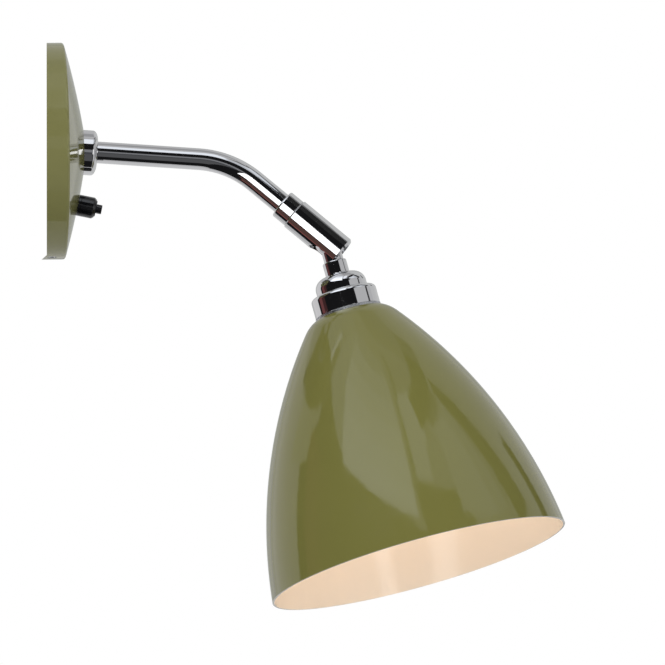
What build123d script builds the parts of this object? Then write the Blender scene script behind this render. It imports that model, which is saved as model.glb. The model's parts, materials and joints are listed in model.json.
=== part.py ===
from build123d import *
import os
from math import asin, atan2, cos, degrees, radians, sin, sqrt

# Gooseneck wall sconce: a round domed backplate on the wall, a bent tube arm, a slotted ball
# swivel, a stepped lampholder cap and a spun bell shade over a bayonet bulb.
# Millimetres. Origin on the wall, behind the middle of the backplate. +X out from the wall, +Z up.

# ---- backplate and wall bracket ----
PLATE_R = 55.0
RIM_DEPTH = 12.4
SHEET = 1.2
SEAT_X = 22.3
SEAT_R = 12.0
DOME_CROWN = 0.6
CREASE_R = 1.3
BRACKET_R = 50.0
BRACKET_T = 1.5
EAR_HALF = 7.0
EAR_REACH = 9.5
EAR_OUT = 53.1
GRUB_X = 5.5
GRUB_R = 1.95
SUPPLY_HOLE_R = 11.0
WALL_SCREW_PITCH = 50.8
WALL_SLOT_WIDTH = 4.5
WALL_SLOT_LENGTH = 9.0

# ---- arm ----
ARM_R = 5.5
ARM_BORE_R = 4.0
THREAD_R = 4.95
TAPPED_R = 5.05
PLATE_HOLE_R = 5.7
ARM_START_X = 13.0
SHOULDER_X = 24.0
ARM_Z = -0.4
ARM_DROOP = 4.38
BEND_X = 97.05
BEND_R = 49.0
SLEEVE_DROP = 40.8
ARM_END_RUN = 34.0
ARM_THREAD_LENGTH = 5.5
FLEX_R = 2.4
CORE_R = 0.85

# ---- swivel, distances along the sleeve from the ball's centre ----
BALL_R = 7.1
SEAT_GAP = 0.05
SLEEVE_R = 8.2
SLEEVE_BORE_R = BALL_R + SEAT_GAP
SLEEVE_END = 8.7
SLEEVE_BACK = -22.6
JOINT_GAP = 0.15
COUPLER_R = 7.6
COUPLER_LENGTH = 8.2
SLOT_HALF = 5.3
SLOT_BACK = -6.7
LIP_R = 5.5
SPIGOT_R = 4.5
PLUG_LENGTH = 5.5
CUP_BACK = -8.5
CUP_FRONT = -5.4
CUP_BORE_R = 3.6
SPRING_R = 6.2
SPRING_WIRE = 0.8
SPRING_TURNS = 4

# ---- head, distances along the head axis from the ball's centre ----
HEAD_TILT = 35.0
NECK_R = 5.0
STEM_R = 6.15
STEM_TOP = 10.3
CAP_TOP = 17.7
CAP_R = 13.1
CAP_END = 26.5
SHELL_R = 16.9
SHELL_END = 36.9
SHADE_SEAT = 38.2
MOUTH = 171.2
MOUTH_R = 76.8
MOUTH_ANGLE = 6.3
FLANK_R = 250.0
SHOULDER_ANGLE = 38.4
SHADE_SHOULDER_R = 18.0
SHADE_SHEET = 1.0
MILLED_TEETH = 72
SKIRT_R = 14.0
SKIRT_END = 60.0
LAMP_CAP_R = 11.0
LAMP_CAP_TOP = 40.5
LAMP_CAP_END = 64.0
PIN_AT = 47.0
BULB_R = 30.0
BULB_END = 143.5

# ---- switch, distances along its own axis from the dome's surface ----
SWITCH_DOWN = 28.0
WASHER_T = 1.2
RING_R = 5.4
RING_END = 9.0
NOZZLE_R = 4.0
NOZZLE_END = 9.4
BUTTON_R = 2.35
BUTTON_END = 12.3
SWITCH_BODY = 13.0
SWITCH_DEPTH = 11.0
SWITCH_FACE = -1.6


# ---- helpers ----
def turned(points, rounds=None):
    """A solid of revolution about X from (along, radius) corners; rounds maps a corner to its radius."""
    rounds = rounds or {}
    radii = [rounds.get(i, 0) for i in range(len(points))]
    return revolve(make_face(FilletPolyline(*points, radius=radii, close=True)), Axis.X)


def tube(start, end, outer, inner):
    """A plain ring or tube about X."""
    return turned([(start, inner), (start, outer), (end, outer), (end, inner)])


def rod(start, end, radius, y=0.0, z=0.0):
    """A round bar along X, off the axis by y and z."""
    return Pos(start, y, z) * Rot(0, 90, 0) * Cylinder(radius, end - start, align=(Align.CENTER, Align.CENTER, Align.MIN))


def hex_nut(start, thickness, across_flats, bore):
    """A hexagon nut about X."""
    profile = RegularPolygon(across_flats / 2, 6, major_radius=False) - Circle(bore)
    return extrude(Plane(origin=(start, 0, 0), z_dir=(1, 0, 0)) * profile, thickness)


def swept(points, radii, section_r):
    """A round bar that follows straight runs joined by tangent arcs."""
    route = FilletPolyline(*points, radius=radii)
    return sweep(Plane(origin=route @ 0, z_dir=route % 0) * Circle(section_r), path=route)


def coil(start, end, radius, wire, turns):
    """A spring of square wire about X."""
    route = Helix(pitch=(end - start - wire) / turns, height=end - start - wire, radius=radius,
                  center=(start + wire / 2, 0, 0), direction=(1, 0, 0))
    return sweep(Plane(origin=route @ 0, z_dir=route % 0) * Rectangle(wire, wire), path=route, is_frenet=True)


def ring_point(centre, radius, angle):
    """A point of an outline arc whose tangent makes this angle with the axis."""
    return (centre[0] - radius * sin(radians(angle)), centre[1] + radius * cos(radians(angle)))


def ring_arc(centre, radius, start, end):
    """An outline arc between two tangent angles."""
    return ThreePointArc(*(ring_point(centre, radius, a) for a in (start, (start + end) / 2, end)))


# ---- frames ----
def downward(angle):
    return (cos(radians(angle)), 0, -sin(radians(angle)))


def along(point, direction, distance):
    return tuple(p + d * distance for p, d in zip(point, direction))


SHOULDER = (SHOULDER_X, 0, ARM_Z)
BEND_CORNER = along(SHOULDER, downward(ARM_DROOP), (BEND_X - SHOULDER_X) / cos(radians(ARM_DROOP)))
ARM_END = along(BEND_CORNER, downward(SLEEVE_DROP), ARM_END_RUN)
COUPLER_BACK = SLEEVE_BACK - JOINT_GAP - COUPLER_LENGTH
BALL = along(ARM_END, downward(SLEEVE_DROP), -COUPLER_BACK)
HEAD_DROP = SLEEVE_DROP + HEAD_TILT
COLLAR_FRAME = Plane(origin=SHOULDER, x_dir=downward(ARM_DROOP), z_dir=(0, 1, 0))
SLEEVE_FRAME = Plane(origin=BALL, x_dir=downward(SLEEVE_DROP), z_dir=(0, 1, 0))
HEAD_FRAME = Plane(origin=BALL, x_dir=downward(HEAD_DROP), z_dir=(0, 1, 0))

# The dome's outline is one shallow arc from the rim's crease to the arm's seat.
DOME_START = Vector(RIM_DEPTH, PLATE_R)
DOME_END = Vector(SEAT_X, SEAT_R)
DOME_CHORD = (DOME_END - DOME_START).length
DOME_OUT = Vector(DOME_START.Y - DOME_END.Y, DOME_END.X - DOME_START.X) / DOME_CHORD
DOME_MID = (DOME_START + DOME_END) / 2 + DOME_OUT * DOME_CROWN
DOME_R = (DOME_CHORD**2 / 4 + DOME_CROWN**2) / (2 * DOME_CROWN)
DOME_CENTRE = DOME_MID - DOME_OUT * DOME_R
SWITCH_TILT = degrees(asin((SWITCH_DOWN - DOME_CENTRE.Y) / DOME_R))
SWITCH_X = DOME_CENTRE.X + DOME_R * cos(radians(SWITCH_TILT))
SWITCH_FRAME = Plane(origin=(SWITCH_X, 0, -SWITCH_DOWN), x_dir=downward(SWITCH_TILT), z_dir=(0, 1, 0))


# ---- backplate ----
def backplate():
    slope = SHEET / cos(atan2(SEAT_X - RIM_DEPTH, PLATE_R - SEAT_R))
    inset = Vector(slope, 0)
    inner_r = PLATE_R - SHEET
    crease = DOME_START - inset + Vector((PLATE_R - inner_r) * (SEAT_X - RIM_DEPTH) / (PLATE_R - SEAT_R), -SHEET)
    outline = [
        Line((0, PLATE_R), DOME_START),
        ThreePointArc(DOME_START, DOME_MID, DOME_END),
        Line(DOME_END, (SEAT_X, PLATE_HOLE_R)),
        Line((SEAT_X, PLATE_HOLE_R), (SEAT_X - slope, PLATE_HOLE_R)),
        Line((SEAT_X - slope, PLATE_HOLE_R), DOME_END - inset),
        ThreePointArc(DOME_END - inset, DOME_MID - inset, crease),
        Line(crease, (0, inner_r)),
        Line((0, inner_r), (0, PLATE_R)),
    ]
    face = make_face(outline)
    corner = face.vertices().sort_by_distance((DOME_START.X, DOME_START.Y, 0))[0]
    cover = revolve(fillet(corner, CREASE_R), Axis.X)
    cover -= SWITCH_FRAME * rod(-10, 10, NOZZLE_R + 0.1)
    for turn in (0, 180):
        cover -= Rot(turn, 0, 0) * Pos(GRUB_X, 0, PLATE_R) * Cylinder(GRUB_R + 0.25, 10)
    return cover


def wall_bracket():
    disc = tube(0, BRACKET_T, BRACKET_R, SUPPLY_HOLE_R)
    foot = [(0, 45), (0, EAR_OUT), (EAR_REACH, EAR_OUT), (EAR_REACH, EAR_OUT - BRACKET_T),
            (BRACKET_T, EAR_OUT - BRACKET_T), (BRACKET_T, 45)]
    bend = make_face(FilletPolyline(*foot, radius=[0, 2.5, 0.5, 0.5, 1.0, 0], close=True))
    ear = extrude(Plane.XZ * bend, EAR_HALF, both=True)
    ear -= Pos(GRUB_X, 0, EAR_OUT) * Cylinder(GRUB_R + 0.05, 8)
    bracket = disc + ear + Rot(180, 0, 0) * ear
    slot = extrude(Plane.YZ * SlotOverall(WALL_SLOT_LENGTH, WALL_SLOT_WIDTH), 10, both=True)
    for side in (-1, 1):
        bracket -= Pos(0, side * WALL_SCREW_PITCH / 2, 0) * slot
    for y, z in (EARTH_AT, BLOCK_SCREW_AT):
        bracket -= rod(-1, 5, SMALL_SCREW_R + 0.05, y, z)
    return bracket


def grub_screw(turn):
    length = 6.0
    top = PLATE_R - 0.1
    screw = Pos(GRUB_X, 0, top - length) * Cylinder(GRUB_R, length, align=(Align.CENTER, Align.CENTER, Align.MIN))
    socket = extrude(Plane(origin=(GRUB_X, 0, top), z_dir=(0, 0, -1)) * RegularPolygon(1.0, 6, major_radius=False), 2.4)
    return Rot(turn, 0, 0) * (screw - socket)


# ---- terminals and leads inside the backplate ----
BLOCK_Z = 28.0
BLOCK_SIZE = (11.0, 27.0, 15.0)
BLOCK_WAYS = (-9.0, 0.0, 9.0)
SMALL_SCREW_R = 1.45
INSERT_R = 2.4
INSERT_BORE_R = 1.5
BLOCK_MID_X = BRACKET_T + 5.5
EARTH_AT = (20.0, -19.0)
BLOCK_SCREW_AT = (-4.5, BLOCK_Z)


def block_tube(y, radius, length):
    return Pos(BLOCK_MID_X, y, BLOCK_Z) * Cylinder(radius, length)


def terminal_block():
    body = Pos(BRACKET_T + BLOCK_SIZE[0] / 2, 0, BLOCK_Z) * Box(*BLOCK_SIZE)
    body = fillet(body.edges().filter_by(Axis.X), 1.0)
    for y in BLOCK_WAYS:
        body -= block_tube(y, INSERT_R + 0.02, BLOCK_SIZE[2] + 1)
        for z in (-4, 4):
            body -= rod(BLOCK_MID_X, 20, SMALL_SCREW_R + 0.2, y, BLOCK_Z + z)
    return body - rod(0, 20, SMALL_SCREW_R + 0.05, *BLOCK_SCREW_AT) - rod(BLOCK_MID_X + 3, 20, 2.1, *BLOCK_SCREW_AT)


def block_insert(y):
    insert = block_tube(y, INSERT_R, BLOCK_SIZE[2] - 1) - block_tube(y, INSERT_BORE_R, BLOCK_SIZE[2])
    for z in (-4, 4):
        insert -= rod(BLOCK_MID_X, 20, SMALL_SCREW_R + 0.05, y, BLOCK_Z + z)
    return insert


def slotted_screw(start, end, radius, y, z):
    screw = rod(start, end, radius, y, z)
    return screw - Pos(end, y, z) * Box(1.2, 2 * radius + 1, 0.5)


def block_screws():
    tip = BLOCK_MID_X + CORE_R + 0.1
    return [slotted_screw(tip, tip + 4.2, SMALL_SCREW_R, y, BLOCK_Z + z) for y in BLOCK_WAYS for z in (-4, 4)]


def cheese_screw(start, seat, y, z):
    """A small screw along X with a round slotted head."""
    head = slotted_screw(seat, seat + 1.5, 2.0, y, z)
    return rod(start, seat, SMALL_SCREW_R, y, z) + head


def earth_lug():
    y, z = EARTH_AT
    eye = rod(BRACKET_T, BRACKET_T + 0.8, 3.4, y, z) - rod(0, 5, SMALL_SCREW_R + 0.05, y, z)
    barrel = Pos(BRACKET_T + 1.6, y - 6.5, z) * Rot(90, 0, 0) * (Cylinder(1.5, 5) - Cylinder(CORE_R + 0.05, 5))
    tail = Pos(BRACKET_T + 0.4, y - 3.9, z) * Box(0.8, 2.6, 2.6)
    return eye + (tail - rod(0, 5, 3.0, y, z)) + barrel


CORE_OUT = 1.15
FLEX_START = 12.0
SWITCH_POST = 3.5


def core_start(turn):
    """Where one core leaves the flex, turned about the arm's axis."""
    return (CORE_OUT * cos(radians(turn)), CORE_OUT * sin(radians(turn)))


def switch_point(side, rise):
    """A point above one switch terminal, in the row's frame."""
    return tuple(SWITCH_FRAME.from_local_coords(Vector(SWITCH_FACE - SWITCH_DEPTH - 1.5, -rise, side * SWITCH_POST)))


def neutral_lead():
    y, z = core_start(90)
    way = BLOCK_WAYS[2]
    return swept([(FLEX_START, y, z), (8.4, y, z), (BLOCK_MID_X, way, 14), (BLOCK_MID_X, way, BLOCK_Z - 3)],
                 [2.2, 6.0], CORE_R)


def earth_lead():
    y, z = core_start(-30)
    end = (BRACKET_T + 1.6, EARTH_AT[0] - 7.5, EARTH_AT[1])
    return swept([(FLEX_START, y, z), (8.4, y, z), (5.4, 7.0, -9.0), (end[0], 7.0, end[2]), end],
                 [2.2, 4.0, 2.6], CORE_R)


def live_lead():
    y, z = core_start(210)
    return swept([(FLEX_START, y, z), (8.8, y, z), switch_point(1, 9), switch_point(1, 0)], [2.4, 6.0], CORE_R)


def feed_lead():
    way = BLOCK_WAYS[0]
    return swept([(BLOCK_MID_X, way, BLOCK_Z - 3), (BLOCK_MID_X, way, 14), (6.5, -14, 0),
                  switch_point(-1, 9), switch_point(-1, 0)], [5.0, 7.0, 5.0], CORE_R)


# ---- arm ----
def arm_route(start_x, end):
    return [(start_x, 0, ARM_Z), SHOULDER, BEND_CORNER, end]


def arm_tube():
    end = along(ARM_END, downward(SLEEVE_DROP), ARM_THREAD_LENGTH)
    radii = [20.0, BEND_R]
    solid = swept(arm_route(ARM_START_X, end), radii, ARM_R)
    solid -= swept(arm_route(ARM_START_X, end), radii, ARM_BORE_R)
    solid -= Pos(0, 0, ARM_Z) * tube(ARM_START_X - 1, SHOULDER_X, ARM_R + 2, THREAD_R)
    solid -= SLEEVE_FRAME * tube(COUPLER_BACK, COUPLER_BACK + 9, ARM_R + 2, THREAD_R)
    return solid


def arm_collar():
    """It hangs a little low on the tube, as in the photograph, so its bore is wide."""
    straight, mouth, outer, bore = 2.7, 5.5, 11.4, ARM_R + 0.55
    back, shoulder = -2.8, -0.45
    outline = [
        Line((back, TAPPED_R + 0.6), (back, outer)),
        Line((back, outer), (straight, outer)),
        EllipticalCenterArc((straight, bore), mouth - straight, outer - bore, start_angle=0, arc_size=90),
        Line((mouth, bore), (shoulder, bore)),
        Line((shoulder, bore), (shoulder, TAPPED_R + 0.6)),
        Line((shoulder, TAPPED_R + 0.6), (back, TAPPED_R + 0.6)),
    ]
    collar = COLLAR_FRAME * Pos(0, 0.5, 0) * revolve(make_face(outline), Axis.X)
    return collar - Pos(SEAT_X - 10, 0, 0) * Box(20, 40, 40)


# ---- swivel ----
def arm_coupler():
    front = SLEEVE_BACK - JOINT_GAP
    body = turned([(COUPLER_BACK, TAPPED_R), (COUPLER_BACK, COUPLER_R), (front, COUPLER_R), (front, SPIGOT_R),
                   (-15.4, SPIGOT_R), (-15.4, 3.0), (-25.2, 3.0), (-25.2, TAPPED_R)], {1: 0.9, 2: 0.25, 4: 0.3})
    return SLEEVE_FRAME * (body - tube(-16.95, -16.05, SPIGOT_R + 1, 4.0))


def retaining_ring():
    ring = tube(-16.85, -16.15, 5.4, 4.05) - Pos(-16.5, -5, 0) * Box(2, 6, 3.0)
    return SLEEVE_FRAME * ring


def swivel_sleeve():
    seat_end = sqrt(SLEEVE_BORE_R**2 - LIP_R**2)
    half = asin(LIP_R / SLEEVE_BORE_R)
    middle = (radians(90) + half) / 2
    chamfer_r, back_chamfer = 1.0, 0.25
    rim_r = SLEEVE_R - chamfer_r
    points = [
        (seat_end, LIP_R),
        (SLEEVE_END - 2.6, LIP_R),
        (SLEEVE_END, rim_r - 0.4),
        (SLEEVE_END, rim_r),
        (SLEEVE_END - chamfer_r, SLEEVE_R),
        (SLEEVE_BACK + back_chamfer, SLEEVE_R),
        (SLEEVE_BACK, SLEEVE_R - back_chamfer),
        (SLEEVE_BACK, SLEEVE_BORE_R),
        (0, SLEEVE_BORE_R),
    ]
    seat = ThreePointArc((0, SLEEVE_BORE_R), (SLEEVE_BORE_R * cos(middle), SLEEVE_BORE_R * sin(middle)),
                         (seat_end, LIP_R))
    solid = revolve(make_face([*Polyline(*points).edges(), seat]), Axis.X)
    slot_end = SLOT_BACK + SLOT_HALF
    slot = Pos(slot_end, 5, 0) * Rot(90, 0, 0) * Cylinder(SLOT_HALF, 10)
    slot += Pos(slot_end + 10, 5, 0) * Box(20, 10, 2 * SLOT_HALF)
    return SLEEVE_FRAME * (solid - slot)


def sleeve_plug():
    return SLEEVE_FRAME * tube(SLEEVE_BACK, SLEEVE_BACK + PLUG_LENGTH, SLEEVE_BORE_R - 0.05, SPIGOT_R + SEAT_GAP)


def ball_cup():
    """It stops short of the ball's middle, so that the neck clears it when the head is square to the sleeve."""
    front_r = sqrt(SLEEVE_BORE_R**2 - CUP_FRONT**2)
    back_at = -sqrt(SLEEVE_BORE_R**2 - CUP_BORE_R**2)
    middle = (atan2(front_r, CUP_FRONT) + atan2(CUP_BORE_R, back_at)) / 2
    points = [(back_at, CUP_BORE_R), (CUP_BACK, CUP_BORE_R), (CUP_BACK, BALL_R), (CUP_FRONT, BALL_R),
              (CUP_FRONT, front_r)]
    seat = ThreePointArc((CUP_FRONT, front_r), (SLEEVE_BORE_R * cos(middle), SLEEVE_BORE_R * sin(middle)),
                         (back_at, CUP_BORE_R))
    return SLEEVE_FRAME * revolve(make_face([*Polyline(*points).edges(), seat]), Axis.X)


def friction_spring():
    start = SLEEVE_BACK + PLUG_LENGTH
    return SLEEVE_FRAME * coil(start + 0.05, CUP_BACK - 0.05, SPRING_R, SPRING_WIRE, SPRING_TURNS)


def ball_stem():
    bore = FLEX_R + 0.4
    neck = turned([(0, 0), (0, NECK_R), (STEM_TOP, NECK_R), (STEM_TOP, STEM_R), (CAP_TOP - 0.05, STEM_R),
                   (CAP_TOP - 0.05, THREAD_R), (23.3, THREAD_R), (23.3, 0)], {3: 0.8, 4: 0.5, 6: 0.4})
    solid = Sphere(BALL_R) + neck
    solid -= rod(-10, 30, bore)
    relief = turned([(-8, 0), (-8, 4.3), (-3.0, bore), (-3.0, 0)])
    return HEAD_FRAME * (solid - relief)


# ---- lampholder ----
def holder_cap():
    wall, hole = 1.0, TAPPED_R
    inner_top = CAP_TOP + wall
    return HEAD_FRAME * turned(
        [(CAP_TOP, hole), (CAP_TOP, CAP_R), (CAP_END, CAP_R), (CAP_END, CAP_R - wall), (inner_top, CAP_R - wall),
         (inner_top, hole)], {1: 5.8, 2: 0.2, 4: 4.8})


def stem_nut():
    return HEAD_FRAME * hex_nut(CAP_TOP + 1.1, 3.0, 14.0, TAPPED_R)


def holder_shell():
    neck_in, neck_out = 11.0, 11.8
    shoulder = CAP_END + 0.1
    return HEAD_FRAME * turned(
        [(24.0, neck_in), (24.0, neck_out), (shoulder, neck_out), (shoulder, SHELL_R), (SHELL_END, SHELL_R),
         (SHELL_END, SHELL_R - 1), (shoulder + 1, SHELL_R - 1), (shoulder + 1, neck_in)], {3: 2.2, 4: 0.2, 6: 1.2})


INSULATOR_TOP = 31.0
INSULATOR_END = 38.5
CONTACT_OFF = 5.3


def holder_insulator():
    body = turned([(INSULATOR_TOP, 0), (INSULATOR_TOP, 10.8), (INSULATOR_END, 10.8), (INSULATOR_END, 0)],
                  {1: 0.8, 2: 0.5})
    for side in (-1, 1):
        body -= rod(34, INSULATOR_END + 1, 2.05, 0, side * CONTACT_OFF)
    return HEAD_FRAME * body


def contact_plungers():
    plunger = turned([(34.5, 0), (34.5, 2.0), (LAMP_CAP_TOP - 0.05, 2.0), (LAMP_CAP_TOP - 0.05, 0)], {2: 0.9})
    return [HEAD_FRAME * Pos(0, 0, side * CONTACT_OFF) * plunger for side in (-1, 1)]


def holder_terminals():
    posts = []
    for side in (-1, 1):
        post = rod(28.4, INSULATOR_TOP, 1.9, 0, side * CONTACT_OFF)
        posts.append(HEAD_FRAME * (post - rod(28, 30, CORE_R + 0.05, 0, side * CONTACT_OFF)))
    return posts


def holder_skirt():
    inner, flange = LAMP_CAP_R + 0.6, 15.85
    body = turned([(27.7, inner), (27.7, SKIRT_R), (33.0, SKIRT_R), (33.0, flange), (34.5, flange), (34.5, SKIRT_R),
                   (SKIRT_END, SKIRT_R), (SKIRT_END, inner), (39.8, inner), (39.8, 9.8), (38.6, 9.8), (38.6, inner)],
                  {6: 0.4})
    half = 1.3
    turn = 24
    for side in (0, 180):
        entry = Pos(PIN_AT + 15, SKIRT_R - 1.5, 0) * Box(30 + 2 * half, 5, 2 * half)
        track = make_face(Polyline((PIN_AT - half, 10), (PIN_AT - half, 16), (PIN_AT + half, 16),
                                   (PIN_AT + half, 10), close=True))
        hook = Pos(PIN_AT + 1, SKIRT_R - 1.5, 0) * Box(2 * half + 2, 5, 2 * half)
        body -= Rot(side + turn, 0, 0) * entry
        body -= Rot(side, 0, 0) * revolve(track, Axis.X, revolution_arc=turn)
        body -= Rot(side, 0, 0) * hook
    return HEAD_FRAME * body


def shade_washer():
    """A thin ring with a milled edge between the shell and the shade."""
    outer = SHELL_R + 0.15
    ring = tube(SHELL_END + 0.05, SHADE_SEAT - 0.05, outer, SKIRT_R + 0.3)
    notches = [Rot(i * 360 / MILLED_TEETH, 0, 0) * rod(SHELL_END, SHADE_SEAT, 0.28, outer + 0.06)
               for i in range(MILLED_TEETH)]
    return HEAD_FRAME * (ring - notches)


def shade_ring():
    ring = turned([(SHADE_SEAT + 1.05, SKIRT_R + 0.1), (SHADE_SEAT + 1.05, 16.8), (45.0, 16.8),
                   (45.0, SKIRT_R + 0.1)], {1: 0.4, 2: 0.6})
    for i in range(12):
        ring -= Rot(i * 30, 0, 0) * rod(41.5, 46, 0.9, 17.2, 0)
    return HEAD_FRAME * ring


def shade():
    """Two tangent arcs, from the mouth up the long flank and over the tight shoulder, spun in thin sheet."""
    flank = (MOUTH + FLANK_R * sin(radians(MOUTH_ANGLE)), MOUTH_R - FLANK_R * cos(radians(MOUTH_ANGLE)))
    joint = ring_point(flank, FLANK_R, SHOULDER_ANGLE)
    shoulder = (joint[0] + SHADE_SHOULDER_R * sin(radians(SHOULDER_ANGLE)),
                joint[1] - SHADE_SHOULDER_R * cos(radians(SHOULDER_ANGLE)))
    seat_in = SHADE_SEAT + SHADE_SHEET
    top = degrees(asin((shoulder[0] - SHADE_SEAT) / SHADE_SHOULDER_R))
    inner_r = SHADE_SHOULDER_R - SHADE_SHEET
    top_in = degrees(asin((shoulder[0] - seat_in) / inner_r))
    outer_top = ring_point(shoulder, SHADE_SHOULDER_R, top)
    inner_top = ring_point(shoulder, inner_r, top_in)
    hole = SKIRT_R + 0.3
    outline = [
        ring_arc(flank, FLANK_R, MOUTH_ANGLE, SHOULDER_ANGLE),
        ring_arc(shoulder, SHADE_SHOULDER_R, SHOULDER_ANGLE, top),
        Line(outer_top, (SHADE_SEAT, hole)),
        Line((SHADE_SEAT, hole), (seat_in, hole)),
        Line((seat_in, hole), inner_top),
        ring_arc(shoulder, inner_r, top_in, SHOULDER_ANGLE),
        ring_arc(flank, FLANK_R - SHADE_SHEET, SHOULDER_ANGLE, MOUTH_ANGLE),
        Line(ring_point(flank, FLANK_R - SHADE_SHEET, MOUTH_ANGLE), ring_point(flank, FLANK_R, MOUTH_ANGLE)),
    ]
    return HEAD_FRAME * revolve(make_face(outline), Axis.X)


# ---- bulb ----
def bulb_cap():
    wall = 0.5
    top = LAMP_CAP_TOP + 2.5
    body = turned([(top, 0), (top, LAMP_CAP_R), (LAMP_CAP_END, LAMP_CAP_R), (LAMP_CAP_END, LAMP_CAP_R - wall),
                   (top + 4.0, LAMP_CAP_R - wall), (top + 4.0, 0)], {1: 0.8})
    base = turned([(LAMP_CAP_TOP, 0), (LAMP_CAP_TOP, 8.6), (top, 9.6), (top, 0)])
    for side in (0, 180):
        body += Rot(side, 0, 0) * Pos(PIN_AT, LAMP_CAP_R + 0.7, 0) * Rot(90, 0, 0) * Cylinder(1.0, 3.0)
    return HEAD_FRAME * (body + base)


def bulb_outline(inset):
    """The bulb's outer or inner half outline: neck, straight flare and a round end tangent to it."""
    radius = BULB_R - inset
    centre = BULB_END - BULB_R
    neck_r, neck_end = 10.4 - inset, 65.0
    reach = sqrt((centre - neck_end)**2 + neck_r**2)
    rise = asin(radius / reach) - atan2(neck_r, centre - neck_end)
    touch = (centre - radius * sin(rise), radius * cos(rise))
    middle = (radians(90) - rise) / 2
    return neck_r, [
        Line((LAMP_CAP_TOP + 8.0, neck_r), (neck_end, neck_r)),
        Line((neck_end, neck_r), touch),
        ThreePointArc(touch, (centre + radius * sin(middle), radius * cos(middle)), (centre + radius, 0)),
    ]


def bulb_glass():
    glass = 1.0
    outer_r, outer = bulb_outline(0)
    inner_r, inner = bulb_outline(glass)
    start = LAMP_CAP_TOP + 8.0
    ends = [Line((BULB_END, 0), (BULB_END - glass, 0)), Line((start, inner_r), (start, outer_r))]
    return HEAD_FRAME * revolve(make_face(outer + inner + ends), Axis.X)


# ---- flex through the arm and the head ----
def arm_flex():
    end = along(BALL, downward(SLEEVE_DROP), -9.5)
    return swept(arm_route(FLEX_START, end), [20.0, BEND_R], FLEX_R)


def head_flex():
    return HEAD_FRAME * rod(0.5, 22.8, FLEX_R)


def holder_core(side):
    return HEAD_FRAME * swept([(22.8, 0, side * CORE_OUT), (24.6, 0, side * CORE_OUT), (26.4, 0, side * CONTACT_OFF),
                               (29.9, 0, side * CONTACT_OFF)], [1.2, 1.2], CORE_R)


# ---- switch ----
def switch_body():
    travel_r = BUTTON_R + 0.1
    box = Pos(SWITCH_FACE - SWITCH_DEPTH / 2, 0, 0) * Box(SWITCH_DEPTH, SWITCH_BODY, SWITCH_BODY)
    box = fillet(box.edges().filter_by(Axis.X), 1.2)
    box += tube(SWITCH_FACE - 0.1, NOZZLE_END, NOZZLE_R, travel_r)
    box -= rod(-10.0, NOZZLE_END, travel_r)
    box -= rod(-10.0, -3.9, 3.3)
    return SWITCH_FRAME * box


def switch_posts():
    posts = []
    for side in (-1, 1):
        tab = Pos(SWITCH_FACE - SWITCH_DEPTH - 1.5, 1.2, side * SWITCH_POST) * Box(3.0, 2.4, 2.4)
        posts.append(SWITCH_FRAME * tab)
    return posts


def switch_washer():
    return SWITCH_FRAME * tube(0.02, WASHER_T, RING_R, NOZZLE_R + 0.1)


def switch_ring_nut():
    ring = turned([(WASHER_T, NOZZLE_R + 0.05), (WASHER_T, RING_R), (RING_END - 1.2, RING_R), (RING_END, 4.4),
                   (RING_END, NOZZLE_R + 0.05)], {1: 0.3, 2: 0.6, 3: 0.2})
    return SWITCH_FRAME * ring


def switch_button():
    return SWITCH_FRAME * turned([(-5.0, 0), (-5.0, 3.15), (-4.0, 3.15), (-4.0, BUTTON_R), (BUTTON_END, BUTTON_R),
                                  (BUTTON_END, 0)], {4: 0.3})


def button_spring():
    return SWITCH_FRAME * coil(-9.95, -5.05, 2.3, 0.4, 5)


# ---- the parts ----
def arm_lock_washer():
    inner_face = SEAT_X - SHEET / cos(atan2(SEAT_X - RIM_DEPTH, PLATE_R - SEAT_R))
    return Pos(0, 0, ARM_Z) * tube(inner_face - 1.05, inner_face - 0.05, 9.0, TAPPED_R + 0.15)


def arm_lock_nut():
    inner_face = SEAT_X - SHEET / cos(atan2(SEAT_X - RIM_DEPTH, PLATE_R - SEAT_R))
    return Pos(0, 0, ARM_Z) * hex_nut(inner_face - 4.1, 3.0, 14.0, TAPPED_R)


PARTS = {
    "wall_bracket": [wall_bracket()],
    "backplate": [backplate()],
    "cover_screws": [grub_screw(0), grub_screw(180)],
    "terminal_block": [terminal_block()],
    "block_inserts": [block_insert(y) for y in BLOCK_WAYS],
    "block_screws": block_screws(),
    "block_fixing_screw": [cheese_screw(0.1, BLOCK_MID_X + 3, *BLOCK_SCREW_AT)],
    "earth_screw": [cheese_screw(0.1, BRACKET_T + 0.8, *EARTH_AT)],
    "earth_lug": [earth_lug()],
    "feed_lead": [feed_lead()],
    "live_lead": [live_lead()],
    "neutral_lead": [neutral_lead()],
    "earth_lead": [earth_lead()],
    "arm_lock_washer": [arm_lock_washer()],
    "arm_lock_nut": [arm_lock_nut()],
    "arm_collar": [arm_collar()],
    "arm_tube": [arm_tube()],
    "arm_flex": [arm_flex()],
    "arm_coupler": [arm_coupler()],
    "retaining_ring": [retaining_ring()],
    "switch_body": [switch_body()],
    "switch_posts": switch_posts(),
    "switch_washer": [switch_washer()],
    "switch_ring_nut": [switch_ring_nut()],
    "switch_button": [switch_button()],
    "button_spring": [button_spring()],
    "swivel_sleeve": [swivel_sleeve()],
    "sleeve_plug": [sleeve_plug()],
    "friction_spring": [friction_spring()],
    "ball_cup": [ball_cup()],
    "ball_stem": [ball_stem()],
    "holder_cap": [holder_cap()],
    "stem_nut": [stem_nut()],
    "holder_shell": [holder_shell()],
    "holder_insulator": [holder_insulator()],
    "holder_terminals": holder_terminals(),
    "contact_plungers": contact_plungers(),
    "holder_skirt": [holder_skirt()],
    "shade_washer": [shade_washer()],
    "shade_ring": [shade_ring()],
    "shade": [shade()],
    "head_flex": [head_flex()],
    "holder_cores": [holder_core(-1), holder_core(1)],
    "bulb_cap": [bulb_cap()],
    "bulb_glass": [bulb_glass()],
}

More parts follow.
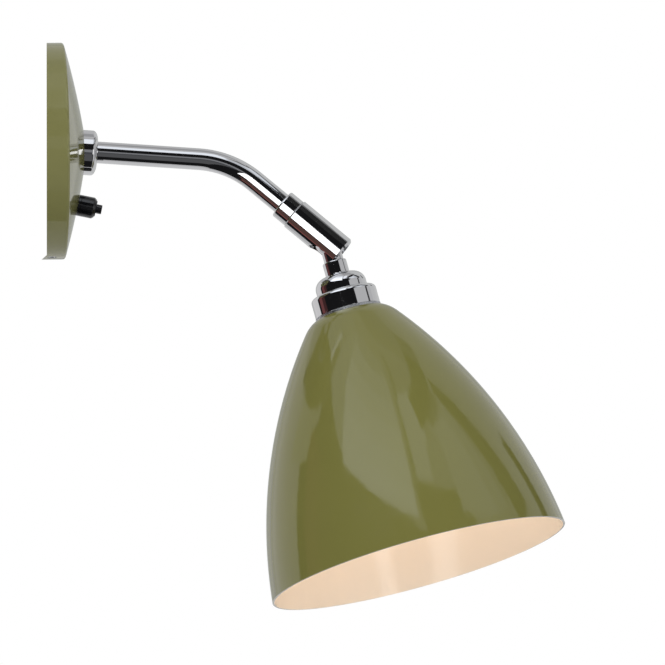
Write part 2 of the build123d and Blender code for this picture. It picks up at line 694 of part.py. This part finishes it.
os.makedirs("parts", exist_ok=True)
for name, solids in PARTS.items():
    export_step(solids[0] if len(solids) == 1 else Compound(children=solids), f"parts/{name}.step")

print("ball centre", [round(c, 4) for c in BALL])
print("sleeve axis", [round(c, 5) for c in downward(SLEEVE_DROP)])
print("head axis", [round(c, 5) for c in downward(HEAD_DROP)])
print("switch at", round(SWITCH_X, 3), "tilt", round(SWITCH_TILT, 3))
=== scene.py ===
"""Gooseneck wall sconce: finishes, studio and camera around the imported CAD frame.

Metres, in the CAD's own frame: origin on the wall behind the backplate, +X out from the wall, +Z up.
"""
import json
from functools import partial
from math import cos, radians, sin

import bpy
from mathutils import Matrix, Vector


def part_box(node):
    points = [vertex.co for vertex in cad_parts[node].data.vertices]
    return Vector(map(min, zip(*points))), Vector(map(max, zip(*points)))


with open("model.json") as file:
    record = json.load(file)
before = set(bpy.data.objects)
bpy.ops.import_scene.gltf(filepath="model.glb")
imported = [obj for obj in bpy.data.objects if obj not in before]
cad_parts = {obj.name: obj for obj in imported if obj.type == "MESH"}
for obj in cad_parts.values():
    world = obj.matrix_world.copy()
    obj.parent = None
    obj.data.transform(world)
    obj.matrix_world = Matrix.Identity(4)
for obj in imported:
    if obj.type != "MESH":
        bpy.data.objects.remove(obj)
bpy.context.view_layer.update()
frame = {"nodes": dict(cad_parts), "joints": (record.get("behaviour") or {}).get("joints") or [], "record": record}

MM = 0.001
NODES = frame["nodes"]
HEAD_SPIN = next(joint for joint in frame["joints"] if joint["name"] == "head_spin")
HEAD_POINT = Vector(HEAD_SPIN["pos_m"])
HEAD_AXIS = Vector(HEAD_SPIN["axis"]).normalized()
PLATE_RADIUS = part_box("backplate")[1].y


# ---- camera: a long lens, a little behind the wall's plane and a little below the lamp ----
VIEW_AZIMUTH = radians(-4.0)
VIEW_ELEVATION = radians(-11.0)
VIEW_ROLL = radians(1.2944)
PHOTO_SIDE = 665
CENTRE_PIXEL = PHOTO_SIDE / 2
ORIGIN_PIXEL = (39.1, 151.3)
PIXELS_PER_METRE = 1971.0
LENS_PIXELS = 20000.0
SENSOR_MM = 36.0


def camera_axes():
    """The photograph's right, up and backward directions in the lamp's frame."""
    back = Vector((sin(VIEW_AZIMUTH) * cos(VIEW_ELEVATION), -cos(VIEW_AZIMUTH) * cos(VIEW_ELEVATION),
                   sin(VIEW_ELEVATION)))
    level = Vector((cos(VIEW_AZIMUTH), sin(VIEW_AZIMUTH), 0))
    upright = back.cross(level)
    right = level * cos(VIEW_ROLL) - upright * sin(VIEW_ROLL)
    return right, back.cross(right), back


RIGHT, UP, BACK = camera_axes()


def make_camera():
    """The camera aims at the point that the middle of the photograph shows."""
    data = bpy.data.cameras.new("camera")
    data.sensor_width = SENSOR_MM
    data.lens = LENS_PIXELS * SENSOR_MM / PHOTO_SIDE
    camera = bpy.data.objects.new("camera", data)
    bpy.context.scene.collection.objects.link(camera)
    across, down = (CENTRE_PIXEL - pixel for pixel in ORIGIN_PIXEL)
    target = (RIGHT * across - UP * down) / PIXELS_PER_METRE
    turn = Matrix((RIGHT, UP, BACK)).transposed().to_4x4()
    camera.matrix_world = Matrix.Translation(target + BACK * (LENS_PIXELS / PIXELS_PER_METRE)) @ turn
    bpy.context.scene.camera = camera


# ---- node helpers ----
class Recipe:
    """One material's node tree, with short calls for the few nodes that the finishes share."""

    def __init__(self, name):
        self.material = bpy.data.materials.new(name)
        self.material.use_nodes = True
        self.tree = self.material.node_tree
        self.shader = self.tree.nodes["Principled BSDF"]
        coordinates = self.node("ShaderNodeTexCoord")
        self.place = coordinates.outputs["Object"]
        self.normal = coordinates.outputs["Normal"]

    def node(self, kind, **settings):
        made = self.tree.nodes.new(kind)
        for key, value in settings.items():
            setattr(made, key, value)
        return made

    def fill(self, socket, value):
        """Sets a socket to a number or links it to another node's output."""
        if isinstance(value, bpy.types.NodeSocket):
            self.tree.links.new(value, socket)
        else:
            socket.default_value = value

    def set(self, **values):
        """Sets the shader's own sockets; an underscore in a name stands for a space."""
        for key, value in values.items():
            self.fill(self.shader.inputs[key.replace("_", " ")], value)

    def source(self, name):
        """The output that feeds one of the shader's sockets."""
        return self.shader.inputs[name].links[0].from_socket

    def math(self, operation, *values):
        made = self.node("ShaderNodeMath", operation=operation)
        for socket, value in zip(made.inputs, values):
            self.fill(socket, value)
        return made.outputs[0]

    def vector(self, operation, *values):
        made = self.node("ShaderNodeVectorMath", operation=operation)
        for socket, value in zip(made.inputs, values):
            self.fill(socket, value)
        return made.outputs["Vector"]

    def dot(self, first, second):
        made = self.node("ShaderNodeVectorMath", operation="DOT_PRODUCT")
        self.fill(made.inputs[0], first)
        self.fill(made.inputs[1], second)
        return made.outputs["Value"]

    def scaled(self, vector, factor):
        made = self.node("ShaderNodeVectorMath", operation="SCALE")
        self.fill(made.inputs[0], vector)
        self.fill(made.inputs["Scale"], factor)
        return made.outputs["Vector"]

    def noise(self, size, detail=3.0, stretch=(1, 1, 1)):
        """Noise with features of about this size, drawn out along an axis where stretch is small."""
        made = self.node("ShaderNodeTexNoise")
        made.inputs["Scale"].default_value = 1 / size
        made.inputs["Detail"].default_value = detail
        place = self.place if stretch == (1, 1, 1) else self.vector("MULTIPLY", self.place, stretch)
        self.fill(made.inputs["Vector"], place)
        return made.outputs["Fac"]

    def between(self, factor, low, high, start=0.3, end=0.7):
        """Maps a factor to the range from low to high. Noise lies mostly between 0.3 and 0.7."""
        made = self.node("ShaderNodeMapRange")
        for key, value in (("Value", factor), ("From Min", start), ("From Max", end), ("To Min", low),
                           ("To Max", high)):
            self.fill(made.inputs[key], value)
        return made.outputs["Result"]

    def mix(self, factor, first, second):
        made = self.node("ShaderNodeMix", data_type="RGBA")
        self.fill(made.inputs["Factor"], factor)
        self.fill(made.inputs["A"], first)
        self.fill(made.inputs["B"], second)
        return made.outputs["Result"]

    def bump(self, height, depth):
        """Gives the shader relief of this depth."""
        made = self.node("ShaderNodeBump")
        made.inputs["Strength"].default_value = 1.0
        made.inputs["Distance"].default_value = depth
        self.fill(made.inputs["Height"], height)
        self.fill(self.shader.inputs["Normal"], made.outputs["Normal"])


def solid(red, green, blue):
    return (red, green, blue, 1.0)


# ---- colours: a pair is a colour and the tone that it drifts to ----
CHROME = (solid(0.585, 0.59, 0.60), solid(0.63, 0.63, 0.635))
OLIVE = (solid(0.166, 0.160, 0.044), solid(0.154, 0.149, 0.040))
# The plate's olive is the shade's paint made lighter and less saturated: painted light and painted reflection haze
# on the plate.
PAINTED_LIGHTER_PLATE_OLIVE = (solid(0.178, 0.175, 0.066), solid(0.167, 0.164, 0.061))
CREAM = (solid(0.84, 0.76, 0.64), solid(0.82, 0.74, 0.62))
RIM_GREY = solid(0.30, 0.29, 0.24)
EARTH_GREEN = solid(0.04, 0.25, 0.05)
EARTH_YELLOW = solid(0.75, 0.62, 0.04)
OPAL = solid(0.93, 0.88, 0.80)
LAMPLIGHT = (solid(1.0, 0.73, 0.57), solid(1.0, 0.77, 0.63))
BULB_GLOW = 2.3

# The rim: faces within this depth of the shade's mouth that face this squarely (as a cosine) out of it.
RIM_BAND = 0.6 * MM
RIM_FACING = 0.8


# ---- finishes ----
def chrome():
    """Polished plate: nearly a mirror, with a slow waviness from the buffing and faint wiped patches."""
    recipe = Recipe("chrome")
    drift = recipe.noise(size=20 * MM)
    wiped = recipe.noise(size=7 * MM, detail=5.0)
    buffing = recipe.noise(size=12 * MM, detail=1.0)
    recipe.set(Metallic=1.0, Base_Color=recipe.mix(drift, *CHROME),
               Roughness=recipe.between(wiped, low=0.02, high=0.06))
    recipe.bump(buffing, depth=0.03 * MM)
    return recipe.material


def stoved_enamel(recipe, colour, darker):
    """Stoved gloss enamel: a thin clear skin with slight orange peel over an even colour."""
    drift = recipe.noise(size=30 * MM, detail=4.0)
    gloss = recipe.noise(size=10 * MM, detail=4.0)
    orange_peel = recipe.noise(size=3.5 * MM, detail=2.0)
    recipe.set(Base_Color=recipe.mix(drift, colour, darker), IOR=1.5,
               Roughness=recipe.between(gloss, low=0.05, high=0.11))
    recipe.bump(orange_peel, depth=0.012 * MM)


def plate_enamel():
    recipe = Recipe("plate_enamel")
    # The shade's stoved enamel in the plate's lighter olive, which paints extra light and reflection haze onto the
    # plate.
    stoved_enamel(recipe, *PAINTED_LIGHTER_PLATE_OLIVE)
    return recipe.material


def shade_enamel():
    """Olive outside, softer cream inside and a grey rim. The side away from the head's axis is outside."""
    recipe = Recipe("shade_enamel")
    stoved_enamel(recipe, *OLIVE)
    olive, gloss = recipe.source("Base Color"), recipe.source("Roughness")
    cream = recipe.mix(recipe.noise(size=30 * MM, detail=4.0), *CREAM)
    softer = recipe.between(recipe.noise(size=10 * MM, detail=4.0), low=0.14, high=0.20)

    from_point = recipe.vector("SUBTRACT", recipe.place, tuple(HEAD_POINT))
    depth = recipe.dot(from_point, tuple(HEAD_AXIS))
    outward = recipe.vector("SUBTRACT", from_point, recipe.scaled(HEAD_AXIS, depth))
    outside = recipe.math("GREATER_THAN", recipe.dot(outward, recipe.normal), 0.0)

    mouth = max((vertex.co - HEAD_POINT).dot(HEAD_AXIS) for vertex in NODES["shade"].data.vertices)
    at_mouth = recipe.math("GREATER_THAN", depth, mouth - RIM_BAND)
    faces_out = recipe.math("GREATER_THAN", recipe.dot(recipe.normal, tuple(HEAD_AXIS)), RIM_FACING)
    rim = recipe.math("MULTIPLY", at_mouth, faces_out)
    recipe.set(Base_Color=recipe.mix(rim, recipe.mix(outside, cream, olive), RIM_GREY),
               Roughness=recipe.between(outside, low=softer, high=gloss, start=0, end=1))
    return recipe.material


def moulded_black(name, colour, rough):
    """Compression moulding: even black with a soft sheen, fine grain and a few rubbed patches."""
    recipe = Recipe(name)
    rubbed = recipe.noise(size=4 * MM, detail=5.0)
    grain = recipe.noise(size=0.6 * MM, detail=2.0)
    recipe.set(Base_Color=colour, IOR=1.55, Roughness=recipe.between(rubbed, rough * 0.8, rough * 1.3))
    recipe.bump(grain, depth=0.006 * MM)
    return recipe.material


def drawn_metal(name, colour, darker, rough):
    """Plain or plated metal with fine tool marks and slight tarnish."""
    recipe = Recipe(name)
    tarnish = recipe.noise(size=6 * MM, detail=5.0)
    gloss = recipe.noise(size=2 * MM, detail=4.0)
    tool_marks = recipe.noise(size=1.2 * MM, detail=4.0, stretch=(1, 1, 0.15))
    recipe.set(Metallic=1.0, Base_Color=recipe.mix(tarnish, colour, darker),
               Roughness=recipe.between(gloss, rough * 0.75, rough * 1.35))
    recipe.bump(tool_marks, depth=0.01 * MM)
    return recipe.material


def plain_moulding(name, colour, darker, rough):
    """Plastic, ceramic or rubber: a slight drift of colour over a fine, soft grain."""
    recipe = Recipe(name)
    drift = recipe.noise(size=4 * MM, detail=4.0)
    gloss = recipe.noise(size=2 * MM, detail=4.0)
    grain = recipe.noise(size=0.5 * MM, detail=2.0)
    recipe.set(Base_Color=recipe.mix(drift, colour, darker),
               Roughness=recipe.between(gloss, rough * 0.85, rough * 1.15))
    recipe.bump(grain, depth=0.01 * MM)
    return recipe.material


def earth_core():
    """Green insulation with yellow stripes along it."""
    recipe = Recipe("green_core")
    stripes = recipe.noise(size=2.2 * MM, detail=0.0, stretch=(0.35, 1, 0.35))
    grain = recipe.noise(size=0.6 * MM, detail=2.0)
    recipe.set(Base_Color=recipe.mix(recipe.math("GREATER_THAN", stripes, 0.5), EARTH_GREEN, EARTH_YELLOW),
               Roughness=0.42)
    recipe.bump(grain, depth=0.01 * MM)
    return recipe.material


def opal_glass():
    """A lit opal bulb: a warm glow that is a little weaker where the coating is thicker."""
    recipe = Recipe("bulb_opal")
    gloss = recipe.noise(size=10 * MM, detail=3.0)
    coating = recipe.noise(size=20 * MM, detail=2.0)
    relief = recipe.noise(size=1.2 * MM, detail=2.0)
    recipe.set(Base_Color=OPAL, IOR=1.5, Roughness=recipe.between(gloss, low=0.16, high=0.26),
               Emission_Color=recipe.mix(coating, *LAMPLIGHT), Emission_Strength=BULB_GLOW)
    recipe.bump(relief, depth=0.01 * MM)
    return recipe.material


# Material slot: colour, tarnished colour, roughness.
METALS = {
    "zinc": (solid(0.52, 0.53, 0.54), solid(0.44, 0.45, 0.47), 0.36),
    "brass": (solid(0.72, 0.52, 0.24), solid(0.60, 0.42, 0.19), 0.30),
    "spring_steel": (solid(0.40, 0.41, 0.42), solid(0.31, 0.32, 0.34), 0.32),
    "aluminium": (solid(0.74, 0.74, 0.75), solid(0.66, 0.66, 0.68), 0.34),
}
# Material slot: colour, darker colour, roughness.
MOULDINGS = {
    "ceramic": (solid(0.80, 0.78, 0.72), solid(0.74, 0.72, 0.66), 0.38),
    "nylon": (solid(0.80, 0.80, 0.76), solid(0.73, 0.73, 0.69), 0.45),
    "acetal": (solid(0.028, 0.028, 0.028), solid(0.020, 0.020, 0.020), 0.35),
    "flex": (solid(0.050, 0.050, 0.050), solid(0.036, 0.036, 0.036), 0.55),
    "brown_core": (solid(0.16, 0.06, 0.03), solid(0.13, 0.05, 0.025), 0.42),
    "blue_core": (solid(0.03, 0.08, 0.35), solid(0.025, 0.065, 0.29), 0.42),
}
# Material slot: colour, roughness.
BLACKS = {
    "holder_black": (solid(0.022, 0.022, 0.024), 0.16),
    "switch_black": (solid(0.004, 0.004, 0.005), 0.14),
}
FINISHES = {
    "chrome": chrome,
    "plate_enamel": plate_enamel,
    "shade_enamel": shade_enamel,
    "green_core": earth_core,
    "bulb_opal": opal_glass,
}
for finish, looks in ((drawn_metal, METALS), (plain_moulding, MOULDINGS), (moulded_black, BLACKS)):
    FINISHES.update({slot: partial(finish, slot, *look) for slot, look in looks.items()})


def dress_nodes():
    """Gives each CAD node the finish of its material slot in the record."""
    made = {}
    for part in frame["record"]["subparts"]:
        slot = part["material_slot"]
        if slot not in made:
            made[slot] = FINISHES[slot]()
        materials = NODES[part["node"]].data.materials
        materials.clear()
        materials.append(made[slot])


# ---- stage helpers: the studio is laid out around a point near the lamp's middle ----
STUDIO_CENTRE = Vector((0.10, 0.0, -0.08))


def direction(azimuth, elevation):
    """A direction by its angles in degrees to the right of and above the line from the lamp to the camera."""
    a, e = radians(azimuth), radians(elevation)
    return BACK * (cos(a) * cos(e)) + RIGHT * (sin(a) * cos(e)) + UP * sin(e)


def glow(name, colour):
    """An emission material of one colour."""
    material = bpy.data.materials.new(name)
    material.use_nodes = True
    tree = material.node_tree
    tree.nodes.clear()
    emission = tree.nodes.new("ShaderNodeEmission")
    emission.inputs["Color"].default_value = solid(*colour)
    output = tree.nodes.new("ShaderNodeOutputMaterial")
    tree.links.new(emission.outputs[0], output.inputs["Surface"])
    return material


def stage_mesh(name, points, faces, material):
    mesh = bpy.data.meshes.new(name)
    mesh.from_pydata([tuple(point) for point in points], [], faces)
    mesh.materials.append(material)
    piece = bpy.data.objects.new(name, mesh)
    bpy.context.scene.collection.objects.link(piece)
    return piece


# ---- studio cards: the glowing or dark surfaces of the room, which only reflections see ----
CARD_DISTANCE = 6.0
CARD_STEPS = 12
# One screen hangs close to the lamp, where the sleeve and the shade see it in different directions.
SCREEN_NEARER = CARD_DISTANCE - 0.38

BLACK = (0.012, 0.012, 0.013)
WALL_PALE = (0.66, 0.66, 0.67)

# The softbox overhead, in degrees: its rows go up from the start, each dimmer and wider to the left.
OVERHEAD_LEVELS = (1.9, 1.8, 1.65, 1.45, 1.2, 0.85)
OVERHEAD_START = 34
OVERHEAD_STEP = 8
OVERHEAD_LEFT = -62
OVERHEAD_RIGHT = 1
OVERHEAD_WIDENING = 3
OVERHEAD_TILT = 2


def grey(level):
    return (level, level, level)


def cool(level):
    """The slightly blue white of the softboxes."""
    return (0.96 * level, level, 1.07 * level)


def patch(left, right, low, high):
    """The four corners of a card with level and upright edges, in degrees."""
    return (left, low), (right, low), (right, high), (left, high)


def along(start, end, share):
    """The angles that lie this share of the way from start to end."""
    return [a + (b - a) * share for a, b in zip(start, end)]


def card(name, corners, colour, nearer=0.0):
    """A curved card between four directions: low left, low right, high right and high left.

    Where two cards overlap, the one that stands nearer is seen. Only glossy rays see any of them."""
    low_left, low_right, high_right, high_left = corners
    points = []
    for j in range(CARD_STEPS + 1):
        for i in range(CARD_STEPS + 1):
            low = along(low_left, low_right, i / CARD_STEPS)
            high = along(high_left, high_right, i / CARD_STEPS)
            angles = along(low, high, j / CARD_STEPS)
            points.append(STUDIO_CENTRE + direction(*angles) * (CARD_DISTANCE - nearer))
    row = CARD_STEPS + 1
    faces = [(j * row + i, j * row + i + 1, (j + 1) * row + i + 1, (j + 1) * row + i)
             for j in range(CARD_STEPS) for i in range(CARD_STEPS)]
    piece = stage_mesh(name, points, faces, glow(name, colour))
    piece.visible_camera = False
    piece.visible_diffuse = False
    piece.visible_transmission = False
    piece.visible_volume_scatter = False
    piece.visible_shadow = False


def room_cards():
    """The pale room all round, with lighter and darker parts behind the lamp and at its sides."""
    card("surround_left", patch(-180, 0, -90, 90), WALL_PALE, -1.5)
    card("surround_right", patch(0, 180, -90, 90), WALL_PALE, -1.5)
    card("far_low", patch(150, 215, -86, -18), (0.82, 0.82, 0.83), -0.6)
    card("far_middle", patch(162, 200, -16, 30), (0.53, 0.54, 0.53), -0.5)
    card("far_top", patch(96, 200, 66, 88), (0.45, 0.45, 0.46), -0.5)
    card("left_pale", patch(-146, -106, -34, 24), (0.86, 0.85, 0.86), -0.4)
    card("right_pale", patch(114, 161, -60, 58), (0.73, 0.735, 0.735), -0.4)


def dark_cards():
    """The dark side of the room, the camera's faint sheen in it and small marks at its left edge."""
    card("front_dark", ((-92, -80), (17, -80), (17, 31), (-92, 46)), BLACK)
    card("front_dark_left", ((-106, -80), (-92, -80), (-92, 32), (-106, 17)), BLACK)
    card("front_dark_right", patch(17, 38, -80, 31), BLACK)
    card("arc_dark", ((6, 28), (38, 28), (62, 45), (3, 47)), BLACK, 0.1)
    card("camera_low", patch(-6, 14, -43, -7), (0.115, 0.117, 0.122), 0.2)
    card("camera_side", patch(-6, 14, -7, 3), (0.085, 0.087, 0.095), 0.2)
    card("camera_sheen", patch(-3, 14, 3, 16), (0.28, 0.285, 0.30), 0.3)
    card("arc_near", ((41, 43), (94, 50), (94, 59), (46, 55)), grey(0.03), SCREEN_NEARER)
    card("arc_near_end", patch(94, 112, 50, 59), grey(0.25), SCREEN_NEARER)
    card("left_blob", ((-126, 23), (-96, 32), (-93, 45), (-122, 40)), grey(0.05))
    card("left_streak", ((-120, 12), (-99, 20), (-93, 34), (-114, 26)), (0.80, 0.80, 0.72), 0.1)


def overhead_softbox():
    """One card for each row. The rows rise a little to the right, apart from the level top edge."""
    last = len(OVERHEAD_LEVELS) - 1
    for j, level in enumerate(OVERHEAD_LEVELS):
        low = OVERHEAD_START + OVERHEAD_STEP * j
        high = low + OVERHEAD_STEP
        left = OVERHEAD_LEFT - OVERHEAD_WIDENING * j
        high_right = high if j == last else high + OVERHEAD_TILT
        corners = ((left, low), (OVERHEAD_RIGHT, low + OVERHEAD_TILT), (OVERHEAD_RIGHT, high_right),
                   (left - OVERHEAD_WIDENING, high))
        card(f"overhead_softbox_{j}", corners, cool(level), 0.5)


def side_softboxes():
    """The softboxes left and right of the overhead one, their dim edges and the dark gaps between."""
    card("left_softbox", ((-130, 48), (-95, 46), (-95, 78), (-130, 78)), cool(0.75), 0.5)
    card("left_glint", patch(-98, -95, 43, 62), cool(1.8), 0.6)
    card("left_gap", ((-95, 38), (-89, 38), (-90, 58), (-95, 58)), grey(0.2), 0.6)
    card("left_medium", ((-88, 46), (-62, 35), (-66, 78), (-91, 78)), cool(0.88), 0.45)
    card("right_softbox", ((7, 47), (24, 48), (48, 72), (12, 72)), cool(1.3), 0.5)
    card("right_low", ((22, 47), (43, 46), (52, 60), (30, 58)), cool(0.75), 0.55)
    card("slit", ((2, 44), (6, 44), (10, 68), (7, 68)), grey(0.3), 0.6)
    card("slit_high", ((7, 68), (10, 68), (38, 84), (24, 84)), grey(0.3), 0.6)
    card("right_panel", ((43, 40), (78, 36), (78, 60), (48, 62)), cool(1.0), 0.5)
    card("right_panel_dim", patch(78, 90, 35, 60), cool(0.78), 0.5)
    card("right_panel_edge", ((90, 35), (97, 34), (93, 60), (90, 60)), cool(0.5), 0.5)
    card("panel_top", patch(52, 90, 61, 67), grey(0.25), 0.55)
    card("side_dark", ((97, 28), (113, 28), (105, 62), (93, 62)), grey(0.03), 0.6)
    card("spot_dark", ((126, 19), (134, 17), (133, 30), (126, 32)), BLACK, 0.5)


def window_cards():
    """Two bright windows, a dark stand and the reddish stripes at the left."""
    card("window", ((-36, -20), (-20, -24), (1, 15), (-13, 15)), grey(2.6), 0.8)
    card("window_right", patch(21, 33, -8, 17), grey(3.0), 0.8)
    card("stand", patch(88, 96, -40, 31), grey(0.07), 0.6)
    card("red_curtain", patch(-97, -84, -22, 28), (0.20, 0.07, 0.07), 0.6)
    card("red_fold", patch(-84, -72, -22, 26), (0.07, 0.03, 0.03), 0.6)
    card("brown_side", ((-66, -50), (-34, -38), (-34, -22), (-66, -32)), (0.12, 0.065, 0.055), 0.4)
    card("red_line", ((-72, -52), (-64, -50), (-64, -34), (-72, -36)), (0.30, 0.10, 0.09), 0.6)


# ---- lamps ----
# Name, azimuth and elevation in degrees as for direction(), distance and side in metres, watts.
LAMPS = (
    ("key_lamp", -35, 38, 2.6, 1.4, 31.0),
    ("fill_lamp", 50, 25, 2.8, 1.6, 18.0),
    ("low_lamp", 8, -34, 2.8, 1.6, 14.0),
)


def make_lamps():
    """Soft lights for the diffuse colour only; the cards make the highlights."""
    for name, azimuth, elevation, distance, side, watts in LAMPS:
        data = bpy.data.lights.new(name, "AREA")
        data.shape = "SQUARE"
        data.size = side
        data.energy = watts
        lamp = bpy.data.objects.new(name, data)
        bpy.context.scene.collection.objects.link(lamp)
        lamp.location = STUDIO_CENTRE + direction(azimuth, elevation) * distance
        lamp.rotation_euler = (lamp.location - STUDIO_CENTRE).to_track_quat("Z", "Y").to_euler()
        lamp.visible_glossy = False
        lamp.visible_camera = False


# ---- background and floor ----
WORLD_FILL = 0.55
FLOOR_Z = -2.3
FLOOR_HALF = 9.0
FLOOR_LIFT = 0.47
FLOOR_PALE = solid(0.86, 0.86, 0.86)
FLOOR_ROUGHNESS = 0.9
WHITE = (1, 1, 1)


def seen_directly(tree):
    """1 for camera, glossy and transmission rays, which see the white background."""
    path = tree.nodes.new("ShaderNodeLightPath")
    total = path.outputs["Is Camera Ray"]
    for ray in ("Is Glossy Ray", "Is Transmission Ray"):
        add = tree.nodes.new("ShaderNodeMath")
        add.operation = "ADD"
        add.use_clamp = True
        tree.links.new(total, add.inputs[0])
        tree.links.new(path.outputs[ray], add.inputs[1])
        total = add.outputs[0]
    return total


def make_world():
    """Full white where it is seen directly, and a weaker fill for the diffuse light."""
    world = bpy.data.worlds.new("studio")
    world.use_nodes = True
    tree = world.node_tree
    background = tree.nodes["Background"]
    mix = tree.nodes.new("ShaderNodeMix")
    mix.inputs["A"].default_value = WORLD_FILL
    mix.inputs["B"].default_value = 1.0
    tree.links.new(seen_directly(tree), mix.inputs["Factor"])
    tree.links.new(mix.outputs["Result"], background.inputs["Strength"])
    background.inputs["Color"].default_value = solid(*WHITE)
    bpy.context.scene.world = world


def floor_finish():
    """A pale matt surface that takes shadows, lifted towards white for the rays that see it directly."""
    material = bpy.data.materials.new("pale_floor")
    material.use_nodes = True
    tree = material.node_tree
    shader = tree.nodes["Principled BSDF"]
    shader.inputs["Base Color"].default_value = FLOOR_PALE
    shader.inputs["Roughness"].default_value = FLOOR_ROUGHNESS
    shader.inputs["Emission Color"].default_value = solid(*WHITE)
    lift = tree.nodes.new("ShaderNodeMath")
    lift.operation = "MULTIPLY"
    lift.inputs[1].default_value = FLOOR_LIFT
    tree.links.new(seen_directly(tree), lift.inputs[0])
    tree.links.new(lift.outputs[0], shader.inputs["Emission Strength"])
    return material


def make_floor():
    corners = ((-1, -1), (1, -1), (1, 1), (-1, 1))
    points = [(x * FLOOR_HALF, y * FLOOR_HALF, FLOOR_Z) for x, y in corners]
    floor = stage_mesh("floor", points, [(0, 1, 2, 3)], floor_finish())
    floor.visible_glossy = False


# ---- wall: a strip beside the plate, whose cut edge hides the plate's rear as in the photograph ----
# The strip lies between a hole round the plate and a cut that leans away from it upwards.
WALL_HOLE_RADIUS = PLATE_RADIUS + 1.2 * MM
WALL_CUT_Y = -(PLATE_RADIUS + 19.9 * MM)
WALL_CUT_LEAN = -0.36
WALL_HALF_HEIGHT = PLATE_RADIUS + 9 * MM
WALL_THICKNESS = 12 * MM
WALL_STEPS = 48


def make_wall():
    """Only a strip on the camera's side, so that the rear and the arm still show from other sides."""
    points = []
    for x in (0.0, -WALL_THICKNESS):
        for i in range(WALL_STEPS + 1):
            angle = radians(90 + 180 * i / WALL_STEPS)
            z = WALL_HALF_HEIGHT * sin(angle)
            on_hole = (x, WALL_HOLE_RADIUS * cos(angle), WALL_HOLE_RADIUS * sin(angle))
            on_cut = (x, WALL_CUT_Y + WALL_CUT_LEAN * z, z)
            points += [on_hole, on_cut]
    back = 2 * (WALL_STEPS + 1)
    last = 2 * WALL_STEPS
    faces = [(0, 1, back + 1, back), (last + 1, last, back + last, back + last + 1)]
    for i in range(0, last, 2):
        faces.append((i, i + 2, i + 3, i + 1))
        faces.append((back + i, back + i + 1, back + i + 3, back + i + 2))
        faces.append((i, back + i, back + i + 2, i + 2))
        faces.append((i + 1, i + 3, back + i + 3, back + i + 1))
    wall = stage_mesh("wall", points, faces, glow("wall_white", WHITE))
    wall.visible_diffuse = False
    wall.visible_glossy = False
    wall.visible_shadow = False


make_camera()
dress_nodes()
room_cards()
dark_cards()
overhead_softbox()
side_softboxes()
window_cards()
make_lamps()
make_world()
make_floor()
make_wall()
bpy.context.scene.view_settings.view_transform = "Standard"
